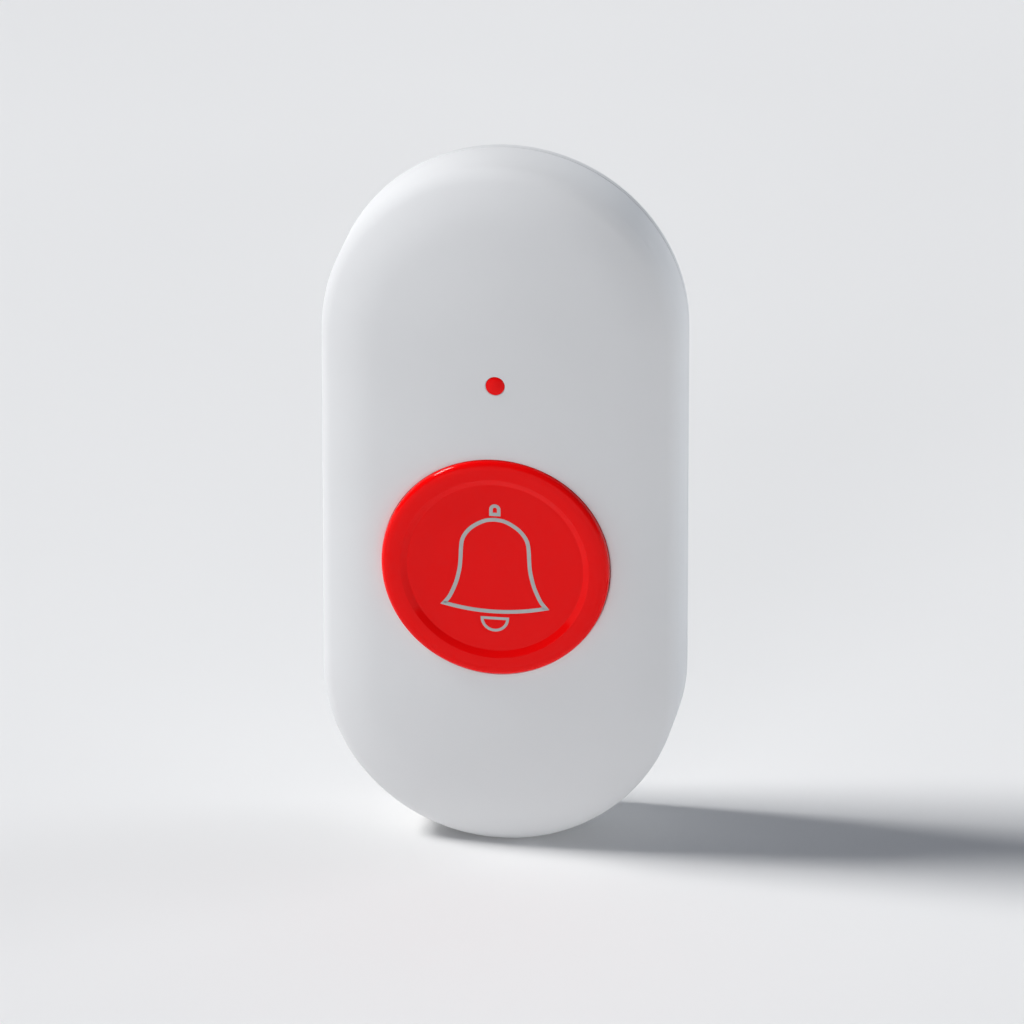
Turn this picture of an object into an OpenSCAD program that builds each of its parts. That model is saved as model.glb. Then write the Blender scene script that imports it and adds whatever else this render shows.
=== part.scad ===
// Wireless doorbell push button, in millimetres.
// It hangs upright on a wall: x to the right, y towards the wall, z up.
// The origin is the middle of the face that lies on the wall.
// Each piece is drawn on its back, with z out from the wall, and then stood up.

/* [Case] */
// width of the case
case_w = 42; // [41:0.5:45]
// height of the case
case_h = 84; // [76:0.5:92]
// depth of the back, which draws in from the side wall to the wall face
back_h = 5.6; // [5:0.2:6.4]
// how far the back draws in
back_in = 2.6; // [2.4:0.1:2.9]
// height of the straight side wall over the back
side_h = 7.1; // [7:0.1:8.2]
// rise of the crowned front over the side wall
crown_h = 4.3; // [4.2:0.1:5]
// radius where the crown turns into the side wall
edge_r = 2.1; // [2:0.1:2.6]
// wall thickness of the front cover
shell_t = 1.8; // [1.6:0.1:1.9]

/* [Rear cover] */
// edge of the rear cover that shows behind the parting line
flange_t = 0.8; // [0.6:0.1:1]
// thickness of the rear cover's floor
rear_t = 1.4; // [1.3:0.1:1.6]
// height of the locating lip over the parting line
lip_h = 2.3; // [2.2:0.1:2.6]
// thickness of the locating lip
lip_t = 1.2; // [1:0.1:1.4]
// gap between the lip and the front cover's wall
lip_gap = 0.12; // [0.08:0.02:0.2]
// distance from each end of the case to the line on which the two keyholes are set out
key_inset = 17; // [16.5:0.25:17.5]
// radius of a keyhole entry, which passes a screw head
key_entry_r = 3.5; // [3.2:0.1:3.7]
// radius of the keyhole's narrow end, which holds a screw shank
key_slot_r = 1.9; // [1.7:0.1:2.2]
// how far the narrow end lies above the entry
key_rise = 4.5; // [4.3:0.1:5]

/* [Button] */
// diameter of the button cap
button_d = 26.8; // [25:0.2:27.2]
// height of the button's centre from the middle of the case
button_y = -6.18; // [-8:0.02:-4]
// gap around the cap in its hole
button_gap = 0.15; // [0.11:0.02:0.31]
// how far the rim stands over the top of the crown
rim_rise = 0.6; // [0.5:0.1:1]
// radius of the rim's outer edge
rim_r = 0.7; // [0.6:0.05:0.8]
// radius of the rim's softly rounded top
crest_r = 3; // [2:0.5:4]
// depth of the dish under the rim
dish_depth = 0.4; // [0.3:0.05:0.5]
// width from the edge of the dish floor to the side of the cap
rim_w = 3.1; // [2.8:0.1:3.4]
// thickness of the cap under the dish
cap_t = 1.4; // [1.2:0.1:1.4]
// how far the cap is pressed
travel = 0.8; // [0.6:0.1:0.9]

/* [Indicator] */
// diameter of the indicator lens
lens_d = 2.2; // [1.8:0.1:3]
// distance from the top end of the case down to the lens centre
lens_drop = 25.6; // [23:0.1:28]

/* [Battery] */
// diameter of the coin cell
cell_d = 20; // [19.6:0.1:20.2]
// thickness of the coin cell
cell_t = 3.2; // [3:0.1:3.2]
// thickness of the battery door
door_t = 1.2; // [1.2:0.1:1.3]
// angle that the door turns from locked to open
door_turn = 60; // [55:1:60]
// width of a bayonet lug, in degrees
lug_angle = 40; // [32:1:42]

/* [Board] */
// thickness of the circuit board
board_t = 1; // [0.8:0.1:1]
// height of the switch with its frame
switch_h = 2.4; // [2.2:0.1:2.4]
// width of the switch
switch_w = 6; // [5.8:0.1:6.2]
// how far the stem stands out of the switch
stem_out = 1.15; // [1:0.05:1.2]

/* [Hidden] */

// case
side_z = back_h + side_h;
case_d = side_z + crown_h;
part_z = back_h + flange_t;
straight = case_h - case_w;
crown_a = 7.5;
shoulder_a = 20;
bevel = 0.15;
lip_top = part_z + lip_h;
seal_z = part_z + 1;
lip_in = shell_t + lip_gap;

// battery bay, from the wall outwards
door_z = 0.1;
door_top = door_z + door_t;
cell_z = door_top + 0.15;
cup_in = cell_d / 2 + 0.25;
cup_r = cup_in + 1;
ledge_in = cup_r + 0.2;
lug_r = cup_r + 1.2;
bay_in = lug_r + 0.3;
door_r = lug_r + 0.35;
opening_r = door_r + 0.2;
bay_r = opening_r + 1.1;
ledge_z = door_top + 0.15;
ledge_top = ledge_z + 0.6;
lug_z = ledge_top + 0.15;
lug_top = lug_z + 0.7;
board_z = cell_z + cell_t + 0.55 + back_h;
board_top = board_z + board_t;
bay_top = lug_top + 2.1;

// keyholes and screws
key_pitch = case_h - 2 * key_inset;
key_y = [key_pitch / 2 - 2, -key_pitch / 2 - 2];
key_head_r = key_entry_r + 0.1;
pocket_top = rear_t + 3.6;
screw_y = case_h / 2 - 6.5;
boss_r = 2.6;
cup_screw_r = 3;
head_z = back_h + 0.4;
head_h = 1.2;
seat_z = head_z + head_h + 1;

// board and its posts
board_w = case_w - 2 * (lip_in + lip_t + 0.6);
board_h = 2 * (screw_y - boss_r - 0.7);
post_x = board_w / 2 - 4.1;
post_y = board_h / 2 - 6.2;
post_r = 2;

// button
button_r = button_d / 2;
hole_r = button_r + button_gap;
flange_z = board_top + 0.45 + travel;
flange_top = flange_z + 0.7;
flange_r = button_r + 1.1;
ring_top = flange_top + 0.3;
collar_z = ring_top + 0.05;
collar_r = hole_r + 1.15;
rim_z = case_d + rim_rise;
dish_z = rim_z - dish_depth;
dish_r = button_r - rim_w;
slope_a = 28;
slope_r = 0.25;
slope_w = (dish_depth - 2 * slope_r * (1 - cos(slope_a))) / tan(slope_a) + 2 * slope_r * sin(slope_a);
crest_a = 15;
crest = [button_r - rim_r - (crest_r - rim_r) * sin(crest_a), rim_z - crest_r];
rim_edge = crest + (crest_r - rim_r) * [sin(crest_a), cos(crest_a)];
cap_z = dish_z - cap_t;
switch_top = board_top + switch_h;
stem_top = switch_top + stem_out;
coil_r = switch_w * 0.707 + 1.5;

// indicator
lens_r = lens_d / 2;
lens_y = case_h / 2 - lens_drop;
lamp_h = 0.9;
lens_z = board_top + lamp_h + 0.15;
lens_seat = lens_z + 0.8;

// points on an arc, with angles turned from straight up towards +x
function arc(c, r, from, to, n) =
    [for (i = [0:n]) let (a = from + (to - from) * i / n) c + r * [sin(a), cos(a)]];

// crown and shoulder radii that meet smoothly, for half width a, rise b and edge radius r
function crown_radii(a, b, r) =
    let (
        s1 = sin(crown_a),
        c1 = cos(crown_a),
        s2 = sin(shoulder_a),
        c2 = cos(shoulder_a),
        p = a - r * (1 - s2),
        q = b - r * c2,
        det = s1 * (c1 - c2) - (s2 - s1) * (1 - c1)
    )
    [(p * (c1 - c2) - (s2 - s1) * q) / det, (s1 * q - (1 - c1) * p) / det];

// the crowned front from its middle line to the side wall
function crown(a, b, r, n) =
    let (
        radii = crown_radii(a, b, r),
        c1 = [0, side_z + b - radii[0]],
        c2 = c1 + (radii[0] - radii[1]) * [sin(crown_a), cos(crown_a)]
    )
    concat(
        arc(c1, radii[0], 0, crown_a, n),
        arc(c2, radii[1], crown_a + 12.5 / n, shoulder_a, n - 1),
        arc([a - r, side_z], r, shoulder_a + 70 / n, 90, n - 1)
    );

function reversed(points) = [for (i = [len(points) - 1:-1:0]) points[i]];

// a wire of radius r on a helix of radius big, as rings of points
function coil_points(big, r, turns, h, n, m) =
    [for (i = [0:n]) for (k = [0:m - 1])
        let (a = 360 * turns * i / n, b = 360 * k / m, d = big + r * cos(b))
        [d * cos(a), d * sin(a), h * i / n + r * sin(b)]];

function coil_faces(n, m) =
    concat(
        [[for (k = [0:m - 1]) k]],
        [[for (k = [m - 1:-1:0]) n * m + k]],
        [for (i = [0:n - 1]) for (k = [0:m - 1])
            [i * m + k, (i + 1) * m + k, (i + 1) * m + (k + 1) % m]],
        [for (i = [0:n - 1]) for (k = [0:m - 1])
            [i * m + k, (i + 1) * m + (k + 1) % m, i * m + (k + 1) % m]]
    );

module stand() {
    rotate([90, 0, 0])
        children();
}

module pill(w, h) {
    square([w, h - w], center = true);
    for (s = [-1, 1])
        translate([0, s * (h - w) / 2])
            circle(w / 2, $fn = 96);
}

// the case outline, drawn in by a distance
module inset(d) {
    pill(case_w - 2 * d, case_h - 2 * d);
}

// a half profile swept round the case outline
module swept(half) {
    rotate([90, 0, 0])
        linear_extrude(height = straight, center = true) {
            polygon(half);
            mirror([1, 0])
                polygon(half);
        }
    for (turn = [0, 180])
        rotate([0, 0, turn])
            translate([0, straight / 2, 0])
                rotate_extrude(angle = 180, $fn = 96)
                    polygon(half);
}

// a ring sector with a rectangular section
module sector(r1, r2, z1, z2, from, span) {
    rotate([0, 0, from])
        rotate_extrude(angle = span, $fn = 96)
            translate([r1, z1])
                square([r2 - r1, z2 - z1]);
}

module post(r, z1, z2) {
    translate([0, 0, z1])
        cylinder(r = r, h = z2 - z1, $fn = 48);
}

module at_posts() {
    for (x = [-post_x, post_x], y = [-post_y, post_y])
        translate([x, y, 0])
            children();
}

module at_screws() {
    for (y = [-screw_y, screw_y])
        translate([0, y, 0])
            children();
}

module at_keys() {
    for (y = key_y)
        translate([0, y, 0])
            children();
}

// the front cover's wall, with a small bevel at the parting line
module cover_wall() {
    a = case_w / 2;
    t = shell_t;
    swept(concat(
        crown(a, crown_h, edge_r, 6),
        [[a, part_z + bevel], [a - bevel, part_z], [a - t, part_z]],
        reversed(crown(a - t, crown_h - t, max(edge_r - t, 0.3), 4))
    ));
}

// the room under the middle of the wall's thickness, where the bosses end
module cover_core() {
    a = (case_w - shell_t) / 2;
    swept(concat(
        [[0, 0]],
        crown(a, crown_h - shell_t / 2, edge_r - shell_t / 2, 3),
        [[a, 0]]
    ));
}

// what stands on the inside of the front cover: button collar, lens boss, screw bosses, board posts
module cover_bosses() {
    translate([0, button_y, 0])
        post(collar_r, collar_z, case_d + 1);
    translate([0, lens_y, 0])
        post(lens_r + 1.4, lens_seat, case_d + 1);
    at_screws()
        post(boss_r, seat_z, case_d + 1);
    at_posts()
        post(post_r, board_top, case_d + 1);
    for (x = [-1, 1], y = [-post_y, post_y])
        translate([x * (post_x + 3.2) - 3.2, y - 0.45, board_top + 0.5])
            cube([6.4, 0.9, case_d]);
}

module front_cover() {
    color("white")
        stand()
            difference() {
                union() {
                    cover_wall();
                    intersection() {
                        cover_bosses();
                        cover_core();
                    }
                }
                translate([0, button_y, 0]) {
                    post(hole_r, 0, case_d + 1);
                    post(flange_r + 0.3, 0, collar_z);
                }
                translate([0, lens_y, 0])
                    post(lens_r + 0.03, 0, case_d + 1);
                at_screws()
                    post(1.05, 0, seat_z + 5.2);
                at_posts()
                    post(0.75, 0, board_top + 1.9);
            }
}

module rear_body() {
    a = case_w / 2;
    lip = a - lip_in;
    swept([[0, 0], [a - back_in - 0.3, 0], [a - back_in, 0.3], [a, back_h], [a, part_z - bevel], [a - bevel, part_z],
           [lip, part_z], [lip, seal_z], [lip - 0.5, seal_z], [lip - 0.5, seal_z + 0.8], [lip, seal_z + 0.8],
           [lip, lip_top], [lip - lip_t, lip_top], [lip - lip_t, back_h - 0.6], [a - back_in - 1.4, rear_t],
           [0, rear_t]]);
    post(bay_r, 0, bay_top);
    at_keys()
        key_room(key_head_r + 0.8, 0, pocket_top);
    at_screws()
        post(cup_screw_r, 0, seat_z);
}

// a room for a screw head, from the keyhole entry up to its narrow end
module key_room(r, z1, z2) {
    translate([0, key_rise / 2, z1])
        linear_extrude(height = z2 - z1)
            pill(2 * r, 2 * r + key_rise);
}

module key_opening() {
    post(key_entry_r, -1, rear_t + 0.1);
    translate([0, key_rise / 2, -1])
        linear_extrude(height = rear_t + 1.1)
            pill(2 * key_slot_r, 2 * key_slot_r + key_rise);
    key_room(key_head_r, rear_t, pocket_top - 0.8);
}

module rear_cover() {
    color("gainsboro")
        stand() {
            difference() {
                rear_body();
                post(opening_r, -1, ledge_z);
                post(ledge_in, -1, bay_top + 1);
                post(bay_in, ledge_top, bay_top + 1);
                for (a = [0, 120, 240])
                    sector(ledge_in - 0.3, lug_r + 0.2, ledge_z - 0.1, ledge_top + 0.1, a - lug_angle / 2 - 4, lug_angle + 8);
                at_keys()
                    key_opening();
                at_screws() {
                    post(2.15, -1, head_z + head_h);
                    post(1.2, -1, seat_z + 1);
                }
            }
            // stops on both sides of the first lug's travel
            for (a = [60 - lug_angle / 2 - 9, 60 + door_turn + lug_angle / 2 + 2])
                sector(lug_r - 0.7, bay_in + 0.2, ledge_top, lug_top, a, 7);
        }
}

module cover_seal() {
    color("dimgray")
        stand()
            translate([0, 0, seal_z])
                linear_extrude(height = 0.8)
                    difference() {
                        inset(shell_t);
                        inset(lip_in + 0.5);
                    }
}

// a pan head screw with a cross recess, its head towards the wall
module screw(head_r, head_h, shank_r, length) {
    difference() {
        union() {
            rotate_extrude($fn = 48)
                polygon([[0, 0], [head_r - 0.4, 0], [head_r, 0.4], [head_r, head_h], [0, head_h]]);
            post(shank_r, head_h - 0.1, head_h + length - 0.5);
            translate([0, 0, head_h + length - 0.5])
                cylinder(r1 = shank_r, r2 = shank_r * 0.5, h = 0.5, $fn = 48);
        }
        for (a = [0, 90])
            rotate([0, 0, a])
                cube([head_r * 1.3, head_r * 0.28, head_h], center = true);
    }
}

module cover_screws() {
    color("silver")
        stand()
            at_screws()
                translate([0, 0, head_z])
                    screw(1.9, head_h, 1, 6);
}

module button_cap() {
    wall = 1.4;
    r = button_r;
    color("red")
        stand()
            translate([0, button_y, 0]) {
                rotate_extrude($fn = 96)
                    polygon(concat(
                        [[0, cap_z], [0, dish_z - 0.05], [dish_r * 0.6, dish_z - 0.03]],
                        arc([dish_r, dish_z + slope_r], slope_r, 180, 180 - slope_a, 3),
                        arc([dish_r + slope_w, rim_z - slope_r], slope_r, -slope_a, 0, 3),
                        arc(crest, crest_r, 0, crest_a, 3),
                        arc(rim_edge, rim_r, crest_a + (90 - crest_a) / 8, 90, 7),
                        [[r, flange_top], [flange_r, flange_top], [flange_r, flange_z], [r - wall, flange_z],
                         [r - wall, cap_z]]
                    ));
                post(2.2, stem_top + 0.05, cap_z + 0.2);
                difference() {
                    post(coil_r - 0.4, cap_z - 0.7, cap_z + 0.2);
                    post(coil_r - 1.1, cap_z - 1, cap_z);
                }
            }
}

module button_seal() {
    color("dimgray")
        stand()
            translate([0, button_y, 0])
                difference() {
                    post(flange_r, flange_top, ring_top);
                    post(button_r, flange_top - 1, ring_top + 1);
                }
}

module button_spring() {
    wire = 0.25;
    color("silver")
        stand()
            translate([0, button_y, board_top + wire])
                polyhedron(
                    coil_points(coil_r, wire, 3.5, cap_z - board_top - 2 * wire, 70, 8),
                    coil_faces(70, 8)
                );
}

module indicator_lens() {
    r = lens_r;
    top = case_d - 0.05;
    color("red")
        stand()
            translate([0, lens_y, 0])
                rotate_extrude($fn = 48)
                    polygon(concat(
                        [[0, lens_z]],
                        [for (i = [0:5]) [r * i / 5, top + 0.2 * (1 - i * i / 25)]],
                        [[r, lens_seat], [r + 0.9, lens_seat], [r + 0.9, lens_z]]
                    ));
}

module circuit_board() {
    color("seagreen")
        stand()
            translate([0, 0, board_z])
                linear_extrude(height = board_t)
                    difference() {
                        intersection() {
                            inset(lip_in + lip_t + 0.6);
                            square([case_w, board_h], center = true);
                        }
                        for (x = [-post_x, post_x], y = [-post_y, post_y])
                            translate([x, y])
                                circle(0.9, $fn = 48);
                    }
}

module board_screws() {
    color("silver")
        stand()
            at_posts()
                translate([0, 0, board_z - 0.9])
                    screw(1.6, 0.9, 0.7, 2.7);
}

module switch_housing() {
    h = switch_h - 0.2;
    color("black")
        stand()
            translate([0, button_y, board_top])
                difference() {
                    translate([0, 0, h / 2])
                        cube([switch_w, switch_w, h], center = true);
                    post(2.6, 0.25, h + 1);
                }
}

module switch_frame() {
    color("silver")
        stand()
            translate([0, button_y, switch_top - 0.2])
                difference() {
                    union() {
                        translate([0, 0, 0.1])
                            cube([switch_w, switch_w, 0.2], center = true);
                        for (s = [-1, 1])
                            translate([s * (switch_w / 2 + 0.1), 0, -0.6])
                                cube([0.2, switch_w * 0.6, 1.6], center = true);
                    }
                    post(1.95, -1, 1);
                }
}

module switch_stem() {
    h = switch_h - 0.2;
    color("dimgray")
        stand()
            translate([0, button_y, 0]) {
                post(2.3, switch_top - 0.3 - (h - 0.45 - travel), switch_top - 0.3);
                post(1.7, switch_top - 0.4, stem_top);
            }
}

module indicator_lamp() {
    color("mistyrose")
        stand()
            translate([0, lens_y, board_top]) {
                translate([0, 0, 0.2])
                    cube([3.2, 1.6, 0.4], center = true);
                translate([0, 0, 0.3])
                    cylinder(r1 = 0.75, r2 = 0.6, h = lamp_h - 0.3, $fn = 48);
            }
}

chip_at = [-8.5, lens_y + 2];

module control_chip() {
    color("black")
        stand()
            translate([chip_at[0], chip_at[1], board_top + 0.85])
                cube([4.9, 3.9, 1.4], center = true);
}

module chip_leads() {
    color("silver")
        stand()
            for (side = [0, 180], x = [-1.905, -0.635, 0.635, 1.905])
                translate([chip_at[0], chip_at[1], board_top])
                    rotate([0, 0, side])
                        translate([x - 0.2, 1.95, 0])
                            rotate([90, 0, 90])
                                linear_extrude(height = 0.4)
                                    polygon([[0, 0.75], [0.35, 0.75], [0.5, 0], [1.05, 0], [1.05, 0.2],
                                             [0.65, 0.2], [0.5, 0.95], [0, 0.95]]);
}

module resonator_can() {
    color("silver")
        stand()
            translate([8.5, lens_y + 2, board_top]) {
                linear_extrude(height = 0.4)
                    pill(3.6, 8.4);
                linear_extrude(height = 1.8)
                    pill(3, 7.8);
            }
}

module chip_parts() {
    upper = [[-3.6, 5.6], [3.6, 5.6], [-12.5, -3.4], [-9.5, -3.4], [9.5, -3.9], [12.5, -3.9]];
    color("tan")
        stand() {
            for (p = upper)
                translate([p[0], lens_y + p[1], board_top + 0.4])
                    cube([0.9, 1.7, 0.8], center = true);
            for (x = [-4, 4])
                translate([x, 5.2 - board_h / 2, board_top + 0.4])
                    cube([0.9, 1.7, 0.8], center = true);
        }
}

module antenna_coil() {
    wire = 0.25;
    color("peru")
        stand()
            translate([-7, post_y + 2.4, board_top + 1.3])
                rotate([0, 90, 0])
                    polyhedron(coil_points(1, wire, 7, 14, 98, 6), coil_faces(98, 6));
}

module coin_cell() {
    r = cell_d / 2;
    t = cell_t;
    color("lightgray")
        stand()
            translate([0, 0, cell_z])
                rotate_extrude($fn = 96)
                    polygon([[0, 0], [r - 0.3, 0], [r, 0.3], [r, t - 0.45], [r - 0.25, t - 0.2], [r - 0.8, t - 0.2],
                             [r - 1, t - 0.35], [r - 1.2, t - 0.35], [r - 1.3, t], [0, t]]);
}

module positive_contact() {
    x = cell_d / 2;
    color("khaki")
        stand()
            translate([0, 2.5, 0])
                rotate([90, 0, 0])
                    linear_extrude(height = 5)
                        polygon([[x, lug_top + 0.3], [x + 0.2, lug_top + 0.3], [x + 0.2, board_z - 0.2],
                                 [x + 2, board_z - 0.2], [x + 2, board_z], [x, board_z]]);
}

module negative_contact() {
    top = cell_z + cell_t;
    color("khaki")
        stand()
            translate([-2.5, 0, 0])
                rotate([90, 0, 90])
                    linear_extrude(height = 5)
                        polygon([[-9, board_z], [-9, board_z - 0.2], [-6, board_z - 0.2], [1, top], [4, top],
                                 [5.5, top + 0.2], [5.5, top + 0.4], [4, top + 0.2], [1.1, top + 0.2], [-5.9, board_z]]);
}

module battery_door() {
    color("gainsboro")
        stand()
            difference() {
                union() {
                    rotate_extrude($fn = 96)
                        polygon([[0, door_z], [door_r - 0.2, door_z], [door_r, door_z + 0.2], [door_r, door_z + 0.3],
                                 [door_r - 0.6, door_z + 0.3], [door_r - 0.6, door_top - 0.2],
                                 [door_r, door_top - 0.2], [door_r, door_top], [cup_r, door_top], [cup_r, lug_top + 0.1],
                                 [cup_in, lug_top + 0.1], [cup_in, door_top], [0, door_top]]);
                    for (a = [60, 180, 300])
                        sector(cup_r - 0.2, lug_r, lug_z, lug_top, a - lug_angle / 2, lug_angle);
                }
                translate([0, 0, -1])
                    linear_extrude(height = 1 + door_z + 0.7)
                        rotate([0, 0, 90])
                            pill(2, 15);
            }
}

module door_seal() {
    wire = (door_t - 0.5) / 2;
    color("dimgray")
        stand()
            rotate_extrude($fn = 96)
                translate([door_r - 0.6 + wire, door_z + 0.3 + wire])
                    circle(wire, $fn = 32);
}

front_cover();
rear_cover();
cover_seal();
cover_screws();
button_cap();
button_seal();
button_spring();
indicator_lens();
circuit_board();
board_screws();
switch_housing();
switch_frame();
switch_stem();
indicator_lamp();
control_chip();
chip_leads();
resonator_can();
chip_parts();
antenna_coil();
coin_cell();
positive_contact();
negative_contact();
battery_door();
door_seal();
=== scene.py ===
import math

import bmesh
import bpy
from mathutils import Matrix, Vector


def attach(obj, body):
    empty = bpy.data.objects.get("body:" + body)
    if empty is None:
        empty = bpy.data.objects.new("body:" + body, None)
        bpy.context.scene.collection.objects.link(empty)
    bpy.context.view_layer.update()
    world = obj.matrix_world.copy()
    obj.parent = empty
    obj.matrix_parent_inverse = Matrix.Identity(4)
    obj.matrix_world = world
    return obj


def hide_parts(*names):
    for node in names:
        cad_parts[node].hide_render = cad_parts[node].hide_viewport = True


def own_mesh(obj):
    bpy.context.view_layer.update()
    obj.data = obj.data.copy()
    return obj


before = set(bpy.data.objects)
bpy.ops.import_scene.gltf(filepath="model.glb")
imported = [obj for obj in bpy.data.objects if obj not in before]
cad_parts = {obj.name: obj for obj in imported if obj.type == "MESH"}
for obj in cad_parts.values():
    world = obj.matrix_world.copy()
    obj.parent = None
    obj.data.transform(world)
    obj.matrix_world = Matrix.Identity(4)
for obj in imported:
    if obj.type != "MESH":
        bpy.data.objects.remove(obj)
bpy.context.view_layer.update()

# The camera stands a little above the push button and to its right, and sees it through a long lens.
# Its turn, tilt, distance and aim are those of the photograph, with the case 42 mm wide.
MM = 0.001
turn, tilt, distance = math.radians(9.039), math.radians(21.95), 1.5
aim_out, aim_side, aim_down = 5.6, 0.174, 3.5
side = Vector((math.cos(turn), math.sin(turn), 0))
back = Vector((math.sin(turn) * math.cos(tilt), -math.cos(turn) * math.cos(tilt), math.sin(tilt)))
up = back.cross(side)
aim = (Vector((0, -aim_out, 0)) + side * aim_side - up * aim_down) * MM
long_lens = bpy.data.cameras.new("camera")
long_lens.sensor_width = 36
long_lens.lens = 451.57
camera = bpy.data.objects.new("camera", long_lens)
towards_aim = Matrix((side, up, back)).transposed().to_4x4()
camera.matrix_world = Matrix.Translation(aim + back * distance) @ towards_aim
bpy.context.collection.objects.link(camera)
bpy.context.scene.camera = camera
bpy.context.scene.view_settings.view_transform = "Standard"

# The floor is a wide sheet of matt pale card under the rounded end that the case stands on.
# Its tone wanders very slightly. A broad patch round the foot, a little to the front and left, is painted a
# shade darker: painted shade that holds back the light the white case throws onto the floor.
floor_z, floor_half = -42, 4000
painted_shade_middle, painted_shade_reach, painted_shade_tone = (-4, -26, floor_z), 60, (0.776, 0.774, 0.768)
EDGE_ANGLE = math.radians(30)


def surface(name, tones, spot, rough, grain, depth, stretch=(1, 1, 1), **sockets):
    """A finish whose tone and gloss wander in spots, over a fine grain, with sizes in metres."""
    faint, strong = 0.3, 0.7
    made = bpy.data.materials.new(name)
    made.use_nodes = True
    nodes, links = made.node_tree.nodes, made.node_tree.links
    shader = nodes["Principled BSDF"]
    for socket, value in sockets.items():
        shader.inputs[socket.replace("_", " ")].default_value = value
    place = nodes.new("ShaderNodeTexCoord")
    scaled = nodes.new("ShaderNodeMapping")
    scaled.inputs["Scale"].default_value = stretch
    links.new(place.outputs["Object"], scaled.inputs["Vector"])
    spots = nodes.new("ShaderNodeTexNoise")
    spots.inputs["Scale"].default_value = 1 / spot
    spots.inputs["Detail"].default_value = 3
    links.new(scaled.outputs["Vector"], spots.inputs["Vector"])
    tone = nodes.new("ShaderNodeValToRGB")
    for stop, at, colour in zip(tone.color_ramp.elements, (faint, strong), tones):
        stop.position = at
        stop.color = (*colour, 1)
    links.new(spots.outputs["Fac"], tone.inputs["Fac"])
    links.new(tone.outputs["Color"], shader.inputs["Base Color"])
    gloss = nodes.new("ShaderNodeMapRange")
    gloss.inputs["From Min"].default_value = faint
    gloss.inputs["From Max"].default_value = strong
    gloss.inputs["To Min"].default_value = rough[0]
    gloss.inputs["To Max"].default_value = rough[1]
    links.new(spots.outputs["Fac"], gloss.inputs["Value"])
    links.new(gloss.outputs["Result"], shader.inputs["Roughness"])
    grains = nodes.new("ShaderNodeTexNoise")
    grains.inputs["Scale"].default_value = 1 / grain
    grains.inputs["Detail"].default_value = 2
    links.new(scaled.outputs["Vector"], grains.inputs["Vector"])
    relief = nodes.new("ShaderNodeBump")
    relief.inputs["Strength"].default_value = 1
    relief.inputs["Distance"].default_value = depth
    links.new(grains.outputs["Fac"], relief.inputs["Height"])
    links.new(relief.outputs["Normal"], shader.inputs["Normal"])
    return made


def overlay(finish, amount, colour):
    """Lays a second colour over a finish, by an amount that varies over it from 0 to 1."""
    factor, first, second, result = 0, 6, 7, 2
    nodes, links = finish.node_tree.nodes, finish.node_tree.links
    mixed = nodes.new("ShaderNodeMix")
    mixed.data_type = "RGBA"
    mixed.inputs[second].default_value = (*colour, 1)
    links.new(amount, mixed.inputs[factor])
    links.new(nodes["Color Ramp"].outputs["Color"], mixed.inputs[first])
    links.new(mixed.outputs[result], nodes["Principled BSDF"].inputs["Base Color"])


def shape(name, points, faces, finish):
    """A mesh piece from points in millimetres, smooth but for its edges."""
    mesh = bpy.data.meshes.new(name)
    mesh.from_pydata([Vector(p) * MM for p in points], [], faces)
    neat = bmesh.new()
    neat.from_mesh(mesh)
    bmesh.ops.recalc_face_normals(neat, faces=neat.faces)
    neat.to_mesh(mesh)
    neat.free()
    mesh.shade_smooth()
    mesh.set_sharp_from_angle(angle=EDGE_ANGLE)
    mesh.materials.append(finish)
    made = bpy.data.objects.new(name, mesh)
    bpy.context.collection.objects.link(made)
    return made


floor_card = surface(
    "floor_card", ((0.842, 0.84, 0.834), (0.85, 0.848, 0.842)),
    spot=0.09, rough=(0.75, 0.85), grain=0.004, depth=2e-6,
)
nodes, links = floor_card.node_tree.nodes, floor_card.node_tree.links
# painted shade: a darker patch round the case's foot, fading out from its middle over its reach
painted_shade_place = nodes.new("ShaderNodeMapping")
painted_shade_place.vector_type = "TEXTURE"
painted_shade_place.inputs["Location"].default_value = Vector(painted_shade_middle) * MM
painted_shade_place.inputs["Scale"].default_value = [painted_shade_reach * MM] * 3
links.new(nodes["Texture Coordinate"].outputs["Object"], painted_shade_place.inputs["Vector"])
painted_shade_fade = nodes.new("ShaderNodeTexGradient")
painted_shade_fade.gradient_type = "QUADRATIC_SPHERE"
links.new(painted_shade_place.outputs["Vector"], painted_shade_fade.inputs["Vector"])
overlay(floor_card, painted_shade_fade.outputs["Fac"], painted_shade_tone)
floor_corners = [(x * floor_half, y * floor_half, floor_z) for x, y in ((-1, -1), (1, -1), (1, 1), (-1, 1))]
floor = shape("floor", floor_corners, [(0, 1, 2, 3)], floor_card)

# Three soft lamps light it: a strong one from the left at half height, a weak one low in front, and a cool
# one low behind on the right. The room is pale at the floor line and dark above it, which the button mirrors.
floor_line, above = (0.05, (0.775, 0.783, 0.798)), (0.1, (0.118, 0.128, 0.153))


def soft_lamp(name, towards, strength, width, colour=(1, 1, 1)):
    """A far soft lamp, by the direction that it stands in and the angle that it spans, in degrees."""
    lamp = bpy.data.lights.new(name, "SUN")
    lamp.energy = strength
    lamp.angle = math.radians(width)
    lamp.color = colour
    stand = bpy.data.objects.new(name, lamp)
    stand.rotation_mode = "QUATERNION"
    stand.rotation_quaternion = Vector(towards).to_track_quat("Z", "Y")
    bpy.context.collection.objects.link(stand)
    return stand


soft_lamp("left_lamp", (-1, -0.02, 1.02), strength=3.18, width=15)
for name, towards, strength, colour in (
    ("front_lamp", (-0.16, -1, 0.1), 1, (0.97, 0.98, 1)),
    ("right_lamp", (0.9, 0.42, 0.09), 1.94, (0.9, 0.95, 1)),
):
    soft_lamp(name, towards, strength, width=25, colour=colour).visible_glossy = False

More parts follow.
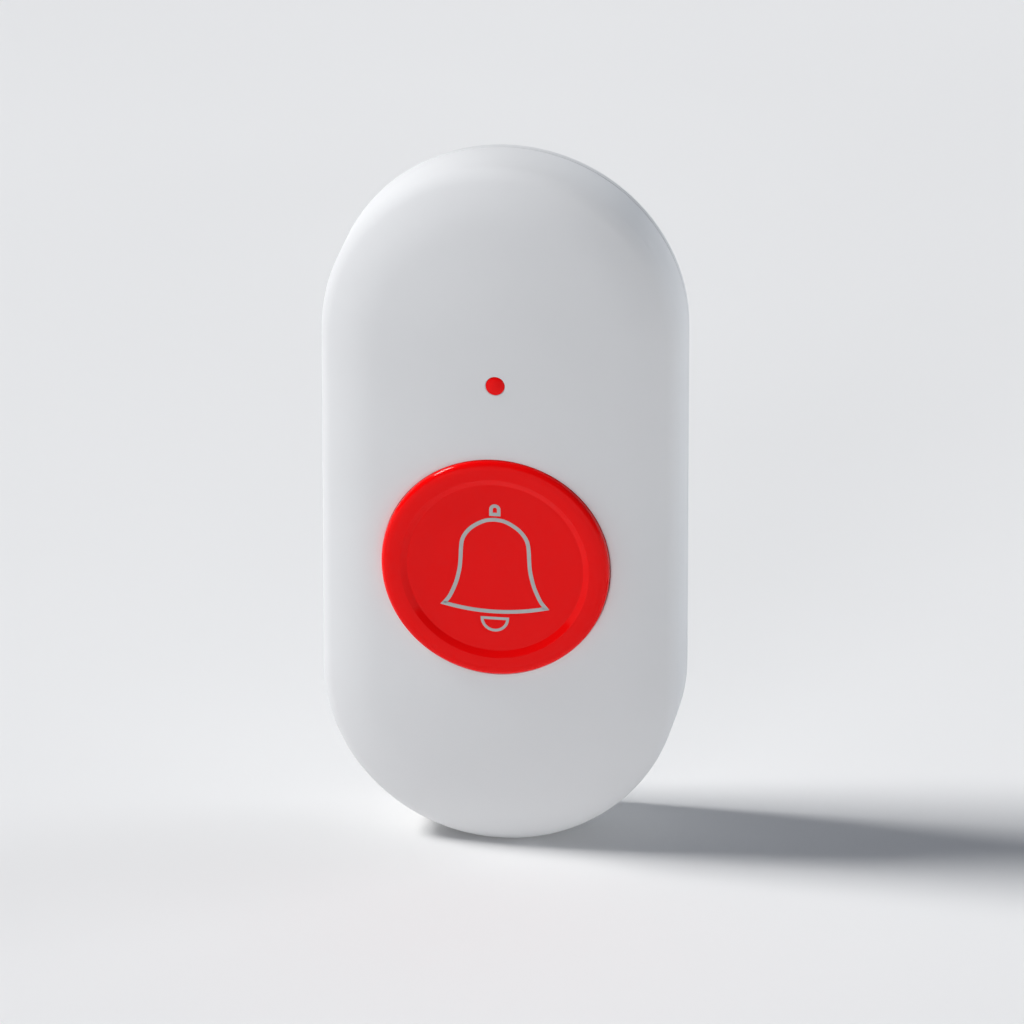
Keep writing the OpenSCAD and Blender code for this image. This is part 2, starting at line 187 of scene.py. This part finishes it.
room = bpy.data.worlds.new("room")
room.use_nodes = True
bpy.context.scene.world = room
nodes, links = room.node_tree.nodes, room.node_tree.links
direction = nodes.new("ShaderNodeTexCoord")
height = nodes.new("ShaderNodeSeparateXYZ")
shade = nodes.new("ShaderNodeValToRGB")
for stop, (at, colour) in zip(shade.color_ramp.elements, (floor_line, above)):
    stop.position = at
    stop.color = (*colour, 1)
links.new(direction.outputs["Generated"], height.inputs["Vector"])
links.new(height.outputs["Z"], shade.inputs["Fac"])
links.new(shade.outputs["Color"], nodes["Background"].inputs["Color"])

# The rear cover is a shallow tray that draws in towards the wall, moulded in white plastic with a fine
# spark-eroded texture. It carries the keyholes, the battery bay and the lip that the front cover fits over.
rear_white = surface(
    "rear_white", ((0.7, 0.703, 0.708), (0.718, 0.721, 0.726)),
    spot=0.012, rough=(0.48, 0.56), grain=0.00028, depth=5e-6, IOR=1.46,
)


def dress(finish, *names):
    """Gives the solids of these names their finish."""
    for name in names:
        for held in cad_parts[name].material_slots:
            held.material = finish


dress(rear_white, "rear_cover")

# The cover seal is a flat silicone cord in the groove of the locating lip.
# It is squeezed between the two covers, and keeps rain out of the parting line.
seal_grey = surface(
    "seal_grey", ((0.085, 0.088, 0.092), (0.11, 0.113, 0.117)),
    spot=0.004, rough=(0.6, 0.75), grain=0.0002, depth=6e-6, IOR=1.42,
)
dress(seal_grey, "cover_seal")

# The battery door is a moulded round lid with a coin slot and three bayonet lugs, in the rear cover's
# plastic. A silicone ring in the groove of its edge seals it, and it locks by a sixth of a turn.
door_white = surface(
    "door_white", ((0.706, 0.709, 0.714), (0.724, 0.727, 0.732)),
    spot=0.009, rough=(0.46, 0.54), grain=0.00022, depth=4e-6, IOR=1.46,
)
dress(door_white, "battery_door")
dress(seal_grey, "door_seal")

# The coin cell is a nickel plated steel can with a turned grain, held in the door's cup.
# Two springy plated contacts under the circuit board touch its rim and its small face.


def turned_grain(finish, spacing, depth):
    """Adds the fine rings of a turned face, round the y axis, with sizes in metres."""
    plain_spacing, waver = 0.31, 1.5
    nodes, links = finish.node_tree.nodes, finish.node_tree.links
    rings = nodes.new("ShaderNodeTexWave")
    rings.wave_type = "RINGS"
    rings.rings_direction = "Y"
    rings.inputs["Scale"].default_value = plain_spacing / spacing
    rings.inputs["Distortion"].default_value = waver
    links.new(nodes["Texture Coordinate"].outputs["Object"], rings.inputs["Vector"])
    relief = nodes.new("ShaderNodeBump")
    relief.inputs["Strength"].default_value = 1
    relief.inputs["Distance"].default_value = depth
    links.new(rings.outputs["Fac"], relief.inputs["Height"])
    links.new(nodes["Bump"].outputs["Normal"], relief.inputs["Normal"])
    links.new(relief.outputs["Normal"], nodes["Principled BSDF"].inputs["Normal"])


cell_nickel = surface(
    "cell_nickel", ((0.66, 0.65, 0.62), (0.7, 0.69, 0.66)),
    spot=0.005, rough=(0.2, 0.3), grain=0.0001, depth=1e-6, Metallic=1.0,
)
turned_grain(cell_nickel, spacing=0.0002, depth=1.5e-6)
dress(cell_nickel, "coin_cell")
plated_sheet = surface(
    "plated_sheet", ((0.7, 0.69, 0.66), (0.76, 0.75, 0.72)),
    spot=0.002, rough=(0.22, 0.36), grain=0.00015, depth=1.5e-6, stretch=(1, 1, 6), Metallic=1.0,
)
dress(plated_sheet, "positive_contact", "negative_contact")

# The circuit board is green lacquered glass fibre, with copper tracks that show through the lacquer as paler
# lines. Four small screws hold it on the posts of the front cover.
track_density, track_wander, track_tone = 420, 0.6, (0.03, 0.24, 0.1)
track_half, track_fade = 0.05, 0.07
board_green = surface(
    "board_green", ((0.012, 0.12, 0.05), (0.016, 0.14, 0.06)),
    spot=0.003, rough=(0.25, 0.4), grain=0.0003, depth=3e-6, IOR=1.5,
)
nodes, links = board_green.node_tree.nodes, board_green.node_tree.links
tracks = nodes.new("ShaderNodeTexVoronoi")
tracks.feature = "DISTANCE_TO_EDGE"
tracks.inputs["Scale"].default_value = track_density
tracks.inputs["Randomness"].default_value = track_wander
links.new(nodes["Mapping"].outputs["Vector"], tracks.inputs["Vector"])
track_edge = nodes.new("ShaderNodeValToRGB")
for stop, at, level in zip(track_edge.color_ramp.elements, (track_half, track_fade), (1, 0)):
    stop.position = at
    stop.color = (level, level, level, 1)
links.new(tracks.outputs["Distance"], track_edge.inputs["Fac"])
overlay(board_green, track_edge.outputs["Color"], track_tone)
dress(board_green, "circuit_board")
screw_zinc = surface(
    "screw_zinc", ((0.56, 0.57, 0.59), (0.64, 0.65, 0.67)),
    spot=0.0012, rough=(0.24, 0.4), grain=0.0001, depth=2e-6, Metallic=1.0,
)
dress(screw_zinc, "board_screws")

# The push switch is a moulded black body under a plated steel frame, soldered to the board.
# Its grey stem slides in the frame, and the button's middle post rests just over it.
switch_black = surface(
    "switch_black", ((0.018, 0.018, 0.019), (0.026, 0.026, 0.027)),
    spot=0.001, rough=(0.4, 0.55), grain=0.00012, depth=4e-6,
)
stem_grey = surface(
    "stem_grey", ((0.2, 0.2, 0.21), (0.24, 0.24, 0.25)),
    spot=0.001, rough=(0.4, 0.5), grain=0.00012, depth=3e-6,
)
dress(switch_black, "switch_housing")
dress(plated_sheet, "switch_frame")
dress(stem_grey, "switch_stem")

# The indicator lamp, the control chip with its bent leads, the resonator can and the small ceramic chips
# are soldered to the front of the board. The lamp shines into the lens above it.
lamp_clear = surface(
    "lamp_clear", ((0.78, 0.7, 0.68), (0.82, 0.75, 0.73)),
    spot=0.0008, rough=(0.12, 0.2), grain=0.0001, depth=1e-6, IOR=1.5,
)
chip_black = surface(
    "chip_black", ((0.016, 0.016, 0.018), (0.024, 0.024, 0.026)),
    spot=0.001, rough=(0.5, 0.65), grain=0.00009, depth=5e-6,
)
ceramic_tan = surface(
    "ceramic_tan", ((0.42, 0.3, 0.2), (0.5, 0.37, 0.25)),
    spot=0.0006, rough=(0.45, 0.6), grain=0.00008, depth=3e-6,
)
dress(lamp_clear, "indicator_lamp")
dress(chip_black, "control_chip")
dress(plated_sheet, "chip_leads", "resonator_can")
dress(ceramic_tan, "chip_parts")

# The antenna is a coil of bare copper wire that lies along the top of the board, with its ends soldered
# down. It is wound on a rod and slipped off, so its turns are even.
BOARD_TOP = 11.8
antenna_r, antenna_gauge, antenna_turns, antenna_len = 1, 0.25, 7, 14
antenna_rise, antenna_z = 1.3, 28.4


def wire_coil(radius, wire, turns, length, place):
    """A round wire on a helix, as points and faces. Place turns (across, across, along) into a point."""
    around, per_turn = 12, 36
    steps = int(per_turn * turns)
    points, faces = [], []
    for i in range(steps + 1):
        a = 2 * math.pi * turns * i / steps
        for k in range(around):
            b = 2 * math.pi * k / around
            out = radius + wire * math.cos(b)
            along = length * i / steps + wire * math.sin(b)
            points.append(place(out * math.cos(a), out * math.sin(a), along))
    for i in range(steps):
        for k in range(around):
            j = (k + 1) % around
            faces.append((i * around + k, i * around + j, (i + 1) * around + j, (i + 1) * around + k))
    faces.append(tuple(range(around)))
    faces.append(tuple(range(steps * around, (steps + 1) * around)))
    return points, faces


copper_wire = surface(
    "copper_wire", ((0.72, 0.34, 0.19), (0.8, 0.42, 0.26)),
    spot=0.0015, rough=(0.2, 0.32), grain=0.0001, depth=1e-6, Metallic=1.0,
)
antenna = shape(
    "antenna_wire",
    *wire_coil(
        antenna_r,
        antenna_gauge,
        antenna_turns,
        antenna_len,
        lambda u, v, along: (along - antenna_len / 2, -(BOARD_TOP + antenna_rise - u), antenna_z + v),
    ),
    copper_wire,
)
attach(antenna, "housing")
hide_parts("antenna_coil")

# The button spring is a short coil of steel wire that stands on the board round the switch.
# It pushes the cap outwards, and shortens by the cap's travel when that is pressed.
BUTTON_Z, CAP_UNDER, TRAVEL = -6.18, 15.8, 0.8
spring_r, spring_gauge, spring_turns, spring_h = 5.742, 0.25, 3.5, CAP_UNDER - BOARD_TOP
spring_steel = surface(
    "spring_steel", ((0.5, 0.5, 0.5), (0.58, 0.58, 0.58)),
    spot=0.0015, rough=(0.25, 0.35), grain=0.0001, depth=1e-6, Metallic=1.0,
)
spring = shape(
    "return_spring",
    *wire_coil(
        spring_r,
        spring_gauge,
        spring_turns,
        spring_h - 2 * spring_gauge,
        lambda u, v, along: (u, -(BOARD_TOP + spring_gauge + along), BUTTON_Z + v),
    ),
    spring_steel,
)
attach(spring, "housing")
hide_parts("button_spring")
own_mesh(spring)

# The button cap is moulded in red plastic and polished: a shallow dish inside a raised round rim, over a
# skirt whose flange keeps it in the case. A silicone ring on the flange stops rattle and water.
CAP_R, RIM_TOP, DISH, DISH_R, HOLLOW = 13.4, 17.6, 17.2, 10.3, 0.05
FLANGE_LOW, FLANGE_TOP, FLANGE_R = 13.05, 13.75, 14.5
slope, fillet, crest_r, crest_tilt, rim_r = 28, 0.25, 3, 15, 0.7
skirt_row, skirt_wall = 15.6, 1.4
post_r, post_low, ring_in, ring_out, ring_low = 2.2, 15.4, 4.642, 5.342, 15.1


def arc(across, out, radius, start, end, steps):
    """Points on an arc of a half profile, with angles in degrees from straight out, towards the outside."""
    angles = [math.radians(start + (end - start) * i / steps) for i in range(steps + 1)]
    return [(across + radius * math.sin(a), out + radius * math.cos(a)) for a in angles]


def dish_floor(r):
    """Height of the hollow dish over the wall face, by the distance from its middle."""
    return DISH - HOLLOW + HOLLOW * (r / DISH_R) ** 2


def turned(profile, centre_z, around=288):
    """A half profile turned round an axis along y, as points and faces."""
    points, rows, faces = [], [], []
    for r, out in profile:
        count = 1 if r == 0 else around
        rows.append(range(len(points), len(points) + count))
        for k in range(count):
            a = 2 * math.pi * k / around
            points.append((r * math.cos(a), -out, centre_z + r * math.sin(a)))
    for low, high in zip(rows, [*rows[1:], rows[0]]):
        if len(low) == len(high) == 1:
            continue
        for k in range(around):
            j = (k + 1) % around
            corners = (low[k % len(low)], low[j % len(low)], high[j % len(high)], high[k % len(high)])
            faces.append(tuple(dict.fromkeys(corners)))
    return points, faces


button_red = surface(
    "button_red", ((0.855, 0.0006, 0.0008), (0.87, 0.0008, 0.001)),
    spot=0.006, rough=(0.04, 0.06), grain=0.0012, depth=1.5e-7, IOR=1.45, Specular_IOR_Level=0.19,
)
slope_s, slope_c = math.sin(math.radians(slope)), math.cos(math.radians(slope))
slope_w = (RIM_TOP - DISH - 2 * fillet * (1 - slope_c)) * slope_c / slope_s + 2 * fillet * slope_s
crest_s, crest_c = math.sin(math.radians(crest_tilt)), math.cos(math.radians(crest_tilt))
crest = CAP_R - rim_r - (crest_r - rim_r) * crest_s
rim_out = RIM_TOP - crest_r + (crest_r - rim_r) * crest_c
cap_profile = [(r, dish_floor(r)) for r in range(11)]
cap_profile += arc(DISH_R, DISH + fillet, fillet, 180, 180 - slope, steps=6)
cap_profile += arc(DISH_R + slope_w, RIM_TOP - fillet, fillet, -slope, 0, steps=6)
cap_profile += arc(crest, RIM_TOP - crest_r, crest_r, 0, crest_tilt, steps=8)
cap_profile += arc(CAP_R - rim_r, rim_out, rim_r, crest_tilt, 90, steps=20)[1:]
cap_profile += [(CAP_R, skirt_row), (CAP_R, FLANGE_TOP), (FLANGE_R, FLANGE_TOP), (FLANGE_R, FLANGE_LOW)]
cap_profile += [(CAP_R - skirt_wall, FLANGE_LOW), (CAP_R - skirt_wall, CAP_UNDER)]
cap_profile += [(ring_out, CAP_UNDER), (ring_out, ring_low), (ring_in, ring_low), (ring_in, CAP_UNDER)]
cap_profile += [(post_r, CAP_UNDER), (post_r, post_low), (0, post_low)]
cap = shape("push_cap", *turned(cap_profile, BUTTON_Z), button_red)
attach(cap, "button")
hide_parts("button_cap")
dress(seal_grey, "button_seal")

# The bell sign is printed on the floor of the dish in grey ink: a bell in outline, with its loop and clapper.
# The ink stands a few hundredths of a millimetre proud, and follows the hollow of the dish.
bell_line, loop_line, clapper_line = 0.46, 0.41, 0.33
foot_half, foot_z, foot_sag, foot_steps = 6, -4.72, 0.74, 40
loop_r, loop_low, loop_mid = 0.455, 6.71, 7.32
clapper_r, clapper_top = 1.5, -6.3
ink_grey = surface(
    "ink_grey", ((0.43, 0.445, 0.44), (0.46, 0.475, 0.47)),
    spot=0.0006, rough=(0.4, 0.5), grain=0.00006, depth=1e-6, IOR=1.45,
)


def smooth_path(knots, steps):
    """A smooth line through knots, with an even number of steps from each to the next."""
    ends = [knots[0], *knots, knots[-1]]
    path = []
    for p, q, r, s in zip(ends, ends[1:], ends[2:], ends[3:]):
        for t in [i / steps for i in range(steps)]:
            point = []
            for n in (0, 1):
                pull = r[n] - p[n]
                bend = 2 * p[n] - 5 * q[n] + 4 * r[n] - s[n]
                twist = 3 * q[n] - p[n] - 3 * r[n] + s[n]
                point.append((2 * q[n] + pull * t + bend * t**2 + twist * t**3) / 2)
            path.append(tuple(point))
    return [*path, knots[-1]]


def half_round(r, z, steps):
    """Half a circle below a height, from one side to the other, or above it where r is negative."""
    angles = [math.pi * i / steps for i in range(steps + 1)]
    return [(r * math.cos(a), z - r * math.sin(a)) for a in angles]


def printed_line(path, width, ink=0.025, sunk=0.01):
    """A closed line of ink on the dish, mitred at its corners, as points and faces."""
    sharpest = 0.35
    points, faces = [], []
    for before, here, after in zip([path[-1], *path], path, [*path[1:], path[0]]):
        a, b, c = Vector(before), Vector(here), Vector(after)
        first, second = (b - a).normalized(), (c - b).normalized()
        n1, n2 = Vector((-first.y, first.x)), Vector((-second.y, second.x))
        mitre = (n1 + n2) / max(1 + n1.dot(n2), sharpest) * width / 2
        for edge, lift in ((b + mitre, -sunk), (b + mitre, ink), (b - mitre, ink), (b - mitre, -sunk)):
            points.append((edge.x, -(dish_floor(edge.length) + lift), BUTTON_Z + edge.y))
    for i in range(len(path)):
        j = (i + 1) % len(path)
        for k in range(4):
            m = (k + 1) % 4
            faces.append((i * 4 + k, i * 4 + m, j * 4 + m, j * 4 + k))
    return points, faces


bell_knots = [(0, 6.05), (1, 5.92), (2, 5.46), (2.9, 4.8), (3.55, 3.98), (3.87, 3.2), (3.99, 2.2)]
bell_knots += [(4.03, 1.2), (4.12, 0), (4.3, -1), (4.56, -2), (4.94, -3), (5.4, -3.95), (foot_half, foot_z)]
bell_side = smooth_path(bell_knots, steps=6)
foot_rows = [1 - 2 * i / foot_steps for i in range(1, foot_steps)]
bell_foot = [(foot_half * u, foot_z - foot_sag * (1 - u**2)) for u in foot_rows]
bell = [*bell_side, *bell_foot, *[(-x, z) for x, z in bell_side[:0:-1]]]
loop = [(-loop_r, loop_low), *half_round(-loop_r, loop_mid, steps=16), (loop_r, loop_low)]
clapper = half_round(clapper_r, clapper_top, steps=32)
sign_points, sign_faces = [], []
for path, width in ((bell, bell_line), (loop, loop_line), (clapper, clapper_line)):
    points, faces = printed_line(path, width)
    sign_faces += [tuple(n + len(sign_points) for n in face) for face in faces]
    sign_points += points
sign = shape("bell_sign", sign_points, sign_faces, ink_grey)
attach(sign, "button")

# The front cover is moulded in satin white plastic: a crowned front that runs down into straight side walls.
# It has a round hole for the button and a small one for the lens, and closes over the rear cover's lip.
HALF_W, STRAIGHT, SIDE_TOP, WALL = 21, 42, 12.7, 1.8
CROWN_RISE, CROWN_TILT, EDGE_R, EDGE_TILT = 4.3, 7.5, 2.1, 20
HOLE_R, HOLE_LIP, COLLAR_LOW, COLLAR_R = 13.43, 0.06, 14.1, 14.7
PARTING, BEVEL = 6.4, 0.15
LENS_Z, LENS_R, LENS_PLAY = 16.4, 1.1, 0.03


def crown(half, rise, edge):
    """The front's height by the distance from the case's middle line: three arcs that meet smoothly."""
    s1, c1 = math.sin(math.radians(CROWN_TILT)), math.cos(math.radians(CROWN_TILT))
    s2, c2 = math.sin(math.radians(EDGE_TILT)), math.cos(math.radians(EDGE_TILT))
    across, drop = half - edge * (1 - s2), rise - edge * c2
    det = s1 * (c1 - c2) - (s2 - s1) * (1 - c1)
    top_r = (across * (c1 - c2) - (s2 - s1) * drop) / det
    shoulder_r = (s1 * drop - (1 - c1) * across) / det
    low = SIDE_TOP + rise - top_r
    mid, mid_low = (top_r - shoulder_r) * s1, low + (top_r - shoulder_r) * c1

    def height(d):
        if d <= top_r * s1:
            return low + math.sqrt(top_r**2 - d**2)
        if d <= across:
            return mid_low + math.sqrt(shoulder_r**2 - (d - mid) ** 2)
        return SIDE_TOP + math.sqrt(max(edge**2 - (d - half + edge) ** 2, 0))

    return height


outside = crown(HALF_W, CROWN_RISE, EDGE_R)
inside = crown(HALF_W - WALL, CROWN_RISE - WALL, EDGE_R - WALL)
shoulder_from, shoulder_to = 17, 19.4
wall_rows, inner_wall_row, inner_edge_rows = (10.6, 8.6), 9.6, (19.17, 19.1, 19, 18.6, 17.8)


def cover_cut(a):
    """The cover's cut in one direction from the button's middle, as a closed row of (distance, height)."""
    dx, dz = math.cos(a), math.sin(a)

    def middle(s):
        """How far a point of the cut lies from the case's middle line."""
        return math.hypot(s * dx, max(abs(BUTTON_Z + s * dz) - STRAIGHT / 2, 0))

    def reach(d):
        """Where the cut comes to a distance from the middle line, found by halving."""
        near, far, halvings = 0.0, 60.0, 36
        for _ in range(halvings):
            half = (near + far) / 2
            near, far = (half, far) if middle(half) < d else (near, half)
        return far

    def even(start, end, steps):
        return [start + (end - start) * i / steps for i in range(steps + 1)]

    lip = HOLE_R + HOLE_LIP
    lip_low = outside(middle(lip)) - HOLE_LIP
    cut = [(HOLE_R, COLLAR_LOW), *arc(lip, lip_low, HOLE_LIP, -90, 0, steps=3)[:-1]]
    cut += [(s, outside(middle(s))) for s in even(lip, reach(shoulder_from), steps=44)]
    shoulder = even(shoulder_from, shoulder_to, steps=8)[1:]
    shoulder += [d for d, _ in arc(HALF_W - EDGE_R, SIDE_TOP, EDGE_R, EDGE_TILT, 90, steps=14)]
    cut += [(reach(d), outside(d)) for d in shoulder]
    edge, inner = reach(HALF_W), reach(HALF_W - WALL)
    cut += [(edge, h) for h in (*wall_rows, PARTING + BEVEL)]
    cut += [(reach(HALF_W - BEVEL), PARTING), (inner, PARTING), (inner, inner_wall_row), (inner, SIDE_TOP)]
    cut += [(reach(d), inside(d)) for d in inner_edge_rows]
    cut += [(s, inside(middle(s))) for s in even(reach(shoulder_from), COLLAR_R, steps=24)]
    cut += [(COLLAR_R, COLLAR_LOW)]
    return cut


rays = 400
cover_points, cover_faces = [], []
for k in range(rays):
    a = 2 * math.pi * (k + 0.5) / rays
    cut = cover_cut(a)
    cover_points += [(s * math.cos(a), -out, BUTTON_Z + s * math.sin(a)) for s, out in cut]
row = len(cut)
for k in range(rays):
    for i in range(row):
        here, there, j = k * row, (k + 1) % rays * row, (i + 1) % row
        cover_faces.append((here + i, here + j, there + j, there + i))
case_white = surface(
    "case_white", ((0.715, 0.718, 0.722), (0.73, 0.733, 0.737)),
    spot=0.014, rough=(0.5, 0.56), grain=0.00035, depth=1.2e-6, IOR=1.46, Specular_IOR_Level=0.08,
)
cover = shape("case_front", cover_points, cover_faces, case_white)

# the hole for the lens, through both skins of the cover
cleared, nearby, between_skins = 2, 4, 16.1
hole_bevel, bevel_deep = 0.09, 0.07
work = bmesh.new()
work.from_mesh(cover.data)


def off_lens(p):
    """How far a point lies from the axis of the lens, in millimetres."""
    return math.hypot(p.x / MM, p.z / MM - LENS_Z)


over_lens = [f for f in work.faces if off_lens(f.calc_center_median()) < cleared]
bmesh.ops.delete(work, geom=over_lens, context="FACES")
outer_rim, inner_rim = [], []
for e in work.edges:
    spot = e.verts[0].co
    if e.is_boundary and off_lens(spot) < nearby:
        (outer_rim if -spot.y / MM > between_skins else inner_rim).append(e)


def ring(radius, height, sink):
    """A ring of edges round the lens on one skin of the cover."""
    steps = 64
    angles = [2 * math.pi * i / steps for i in range(steps)]
    spots = [(radius * math.cos(a), radius * math.sin(a)) for a in angles]
    verts = [work.verts.new(Vector((x, sink - height(abs(x)), LENS_Z + z)) * MM) for x, z in spots]
    return [work.edges.new((verts[i], verts[(i + 1) % steps])) for i in range(steps)]


hole_r = LENS_R + LENS_PLAY
lens_hole = [outer_rim, ring(hole_r + hole_bevel, outside, 0), ring(hole_r, outside, bevel_deep)]
lens_hole += [ring(hole_r, inside, 0), inner_rim]
for one, other in zip(lens_hole, lens_hole[1:]):
    bmesh.ops.bridge_loops(work, edges=one + other)
bmesh.ops.recalc_face_normals(work, faces=work.faces)
work.to_mesh(cover.data)
work.free()
cover.data.shade_smooth()
cover.data.set_sharp_from_angle(angle=EDGE_ANGLE)

# the shoulder is buffed over, so that light eases from the crown down the wall without a line
ease_from, crown_lean, wall_lean, foot_lean = 15, 23, 60, 84
wall_foot, skin, step = PARTING + BEVEL, 0.02, 0.01
crown_end = HALF_W - EDGE_R * (1 - math.sin(math.radians(EDGE_TILT)))
start_lean = math.degrees(math.atan((outside(ease_from - step) - outside(ease_from + step)) / (2 * step)))


def between(value, low, high, first, last):
    """The number that stands between first and last as value stands between low and high."""
    return first + (last - first) * (value - low) / (high - low)


def buffed(p):
    """The direction that the buffed skin faces at a point, or nothing where it isn't buffed."""
    x, out, z = p.x / MM, -p.y / MM, p.z / MM
    beyond = z - max(-STRAIGHT / 2, min(STRAIGHT / 2, z))
    d = math.hypot(x, beyond)
    on_wall = d > HALF_W - skin and wall_foot - step < out < SIDE_TOP
    if not on_wall and (d < ease_from or out < outside(min(d, HALF_W)) - skin):
        return None
    if on_wall:
        lean = between(out, SIDE_TOP, wall_foot, wall_lean, foot_lean)
    elif d > crown_end:
        tilt_here = math.degrees(math.acos(min((out - SIDE_TOP) / EDGE_R, 1)))
        lean = between(tilt_here, EDGE_TILT, 90, crown_lean, wall_lean)
    else:
        lean = between(d, ease_from, crown_end, start_lean, crown_lean)
    lean = math.radians(lean)
    return Vector((x / d * math.sin(lean), -math.cos(lean), beyond / d * math.sin(lean)))


facing = [Vector((0, 0, 0))] * len(cover.data.loops)
for face in cover.data.polygons:
    leans = [buffed(cover.data.vertices[v].co) for v in face.vertices]
    if all(leans):
        for corner, lean in zip(face.loop_indices, leans):
            facing[corner] = lean
cover.data.normals_split_custom_set(facing)
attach(cover, "housing")
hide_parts("front_cover")

# The indicator lens is a small plug of clear red plastic, pushed into its hole from behind up to its collar.
# Its domed end stands just out of the crown, and lights up when the button is pressed.
lens_low, lens_seat, lens_edge, lens_collar = 12.85, 13.65, 16.95, 0.9
dome_rise, dome_steps = 0.2, 12
lens_red = surface(
    "lens_red", ((0.855, 0.0015, 0.002), (0.87, 0.002, 0.0025)),
    spot=0.0012, rough=(0.12, 0.18), grain=0.0002, depth=2e-7, IOR=1.49, Specular_IOR_Level=0.15,
)
dome_rows = [i / dome_steps for i in range(dome_steps + 1)]
lens_profile = [(LENS_R * u, lens_edge + dome_rise * (1 - u**2)) for u in dome_rows]
lens_profile += [(LENS_R, lens_seat), (LENS_R + lens_collar, lens_seat)]
lens_profile += [(LENS_R + lens_collar, lens_low), (0, lens_low)]
lens_plug = shape("lens_plug", *turned(lens_profile, LENS_Z, around=96), lens_red)
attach(lens_plug, "housing")
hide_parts("indicator_lens")

# Two zinc plated pan head screws come in from behind, through cups in the rear cover, and pull the case
# together. Their heads lie below the wall face.
dress(screw_zinc, "cover_screws")
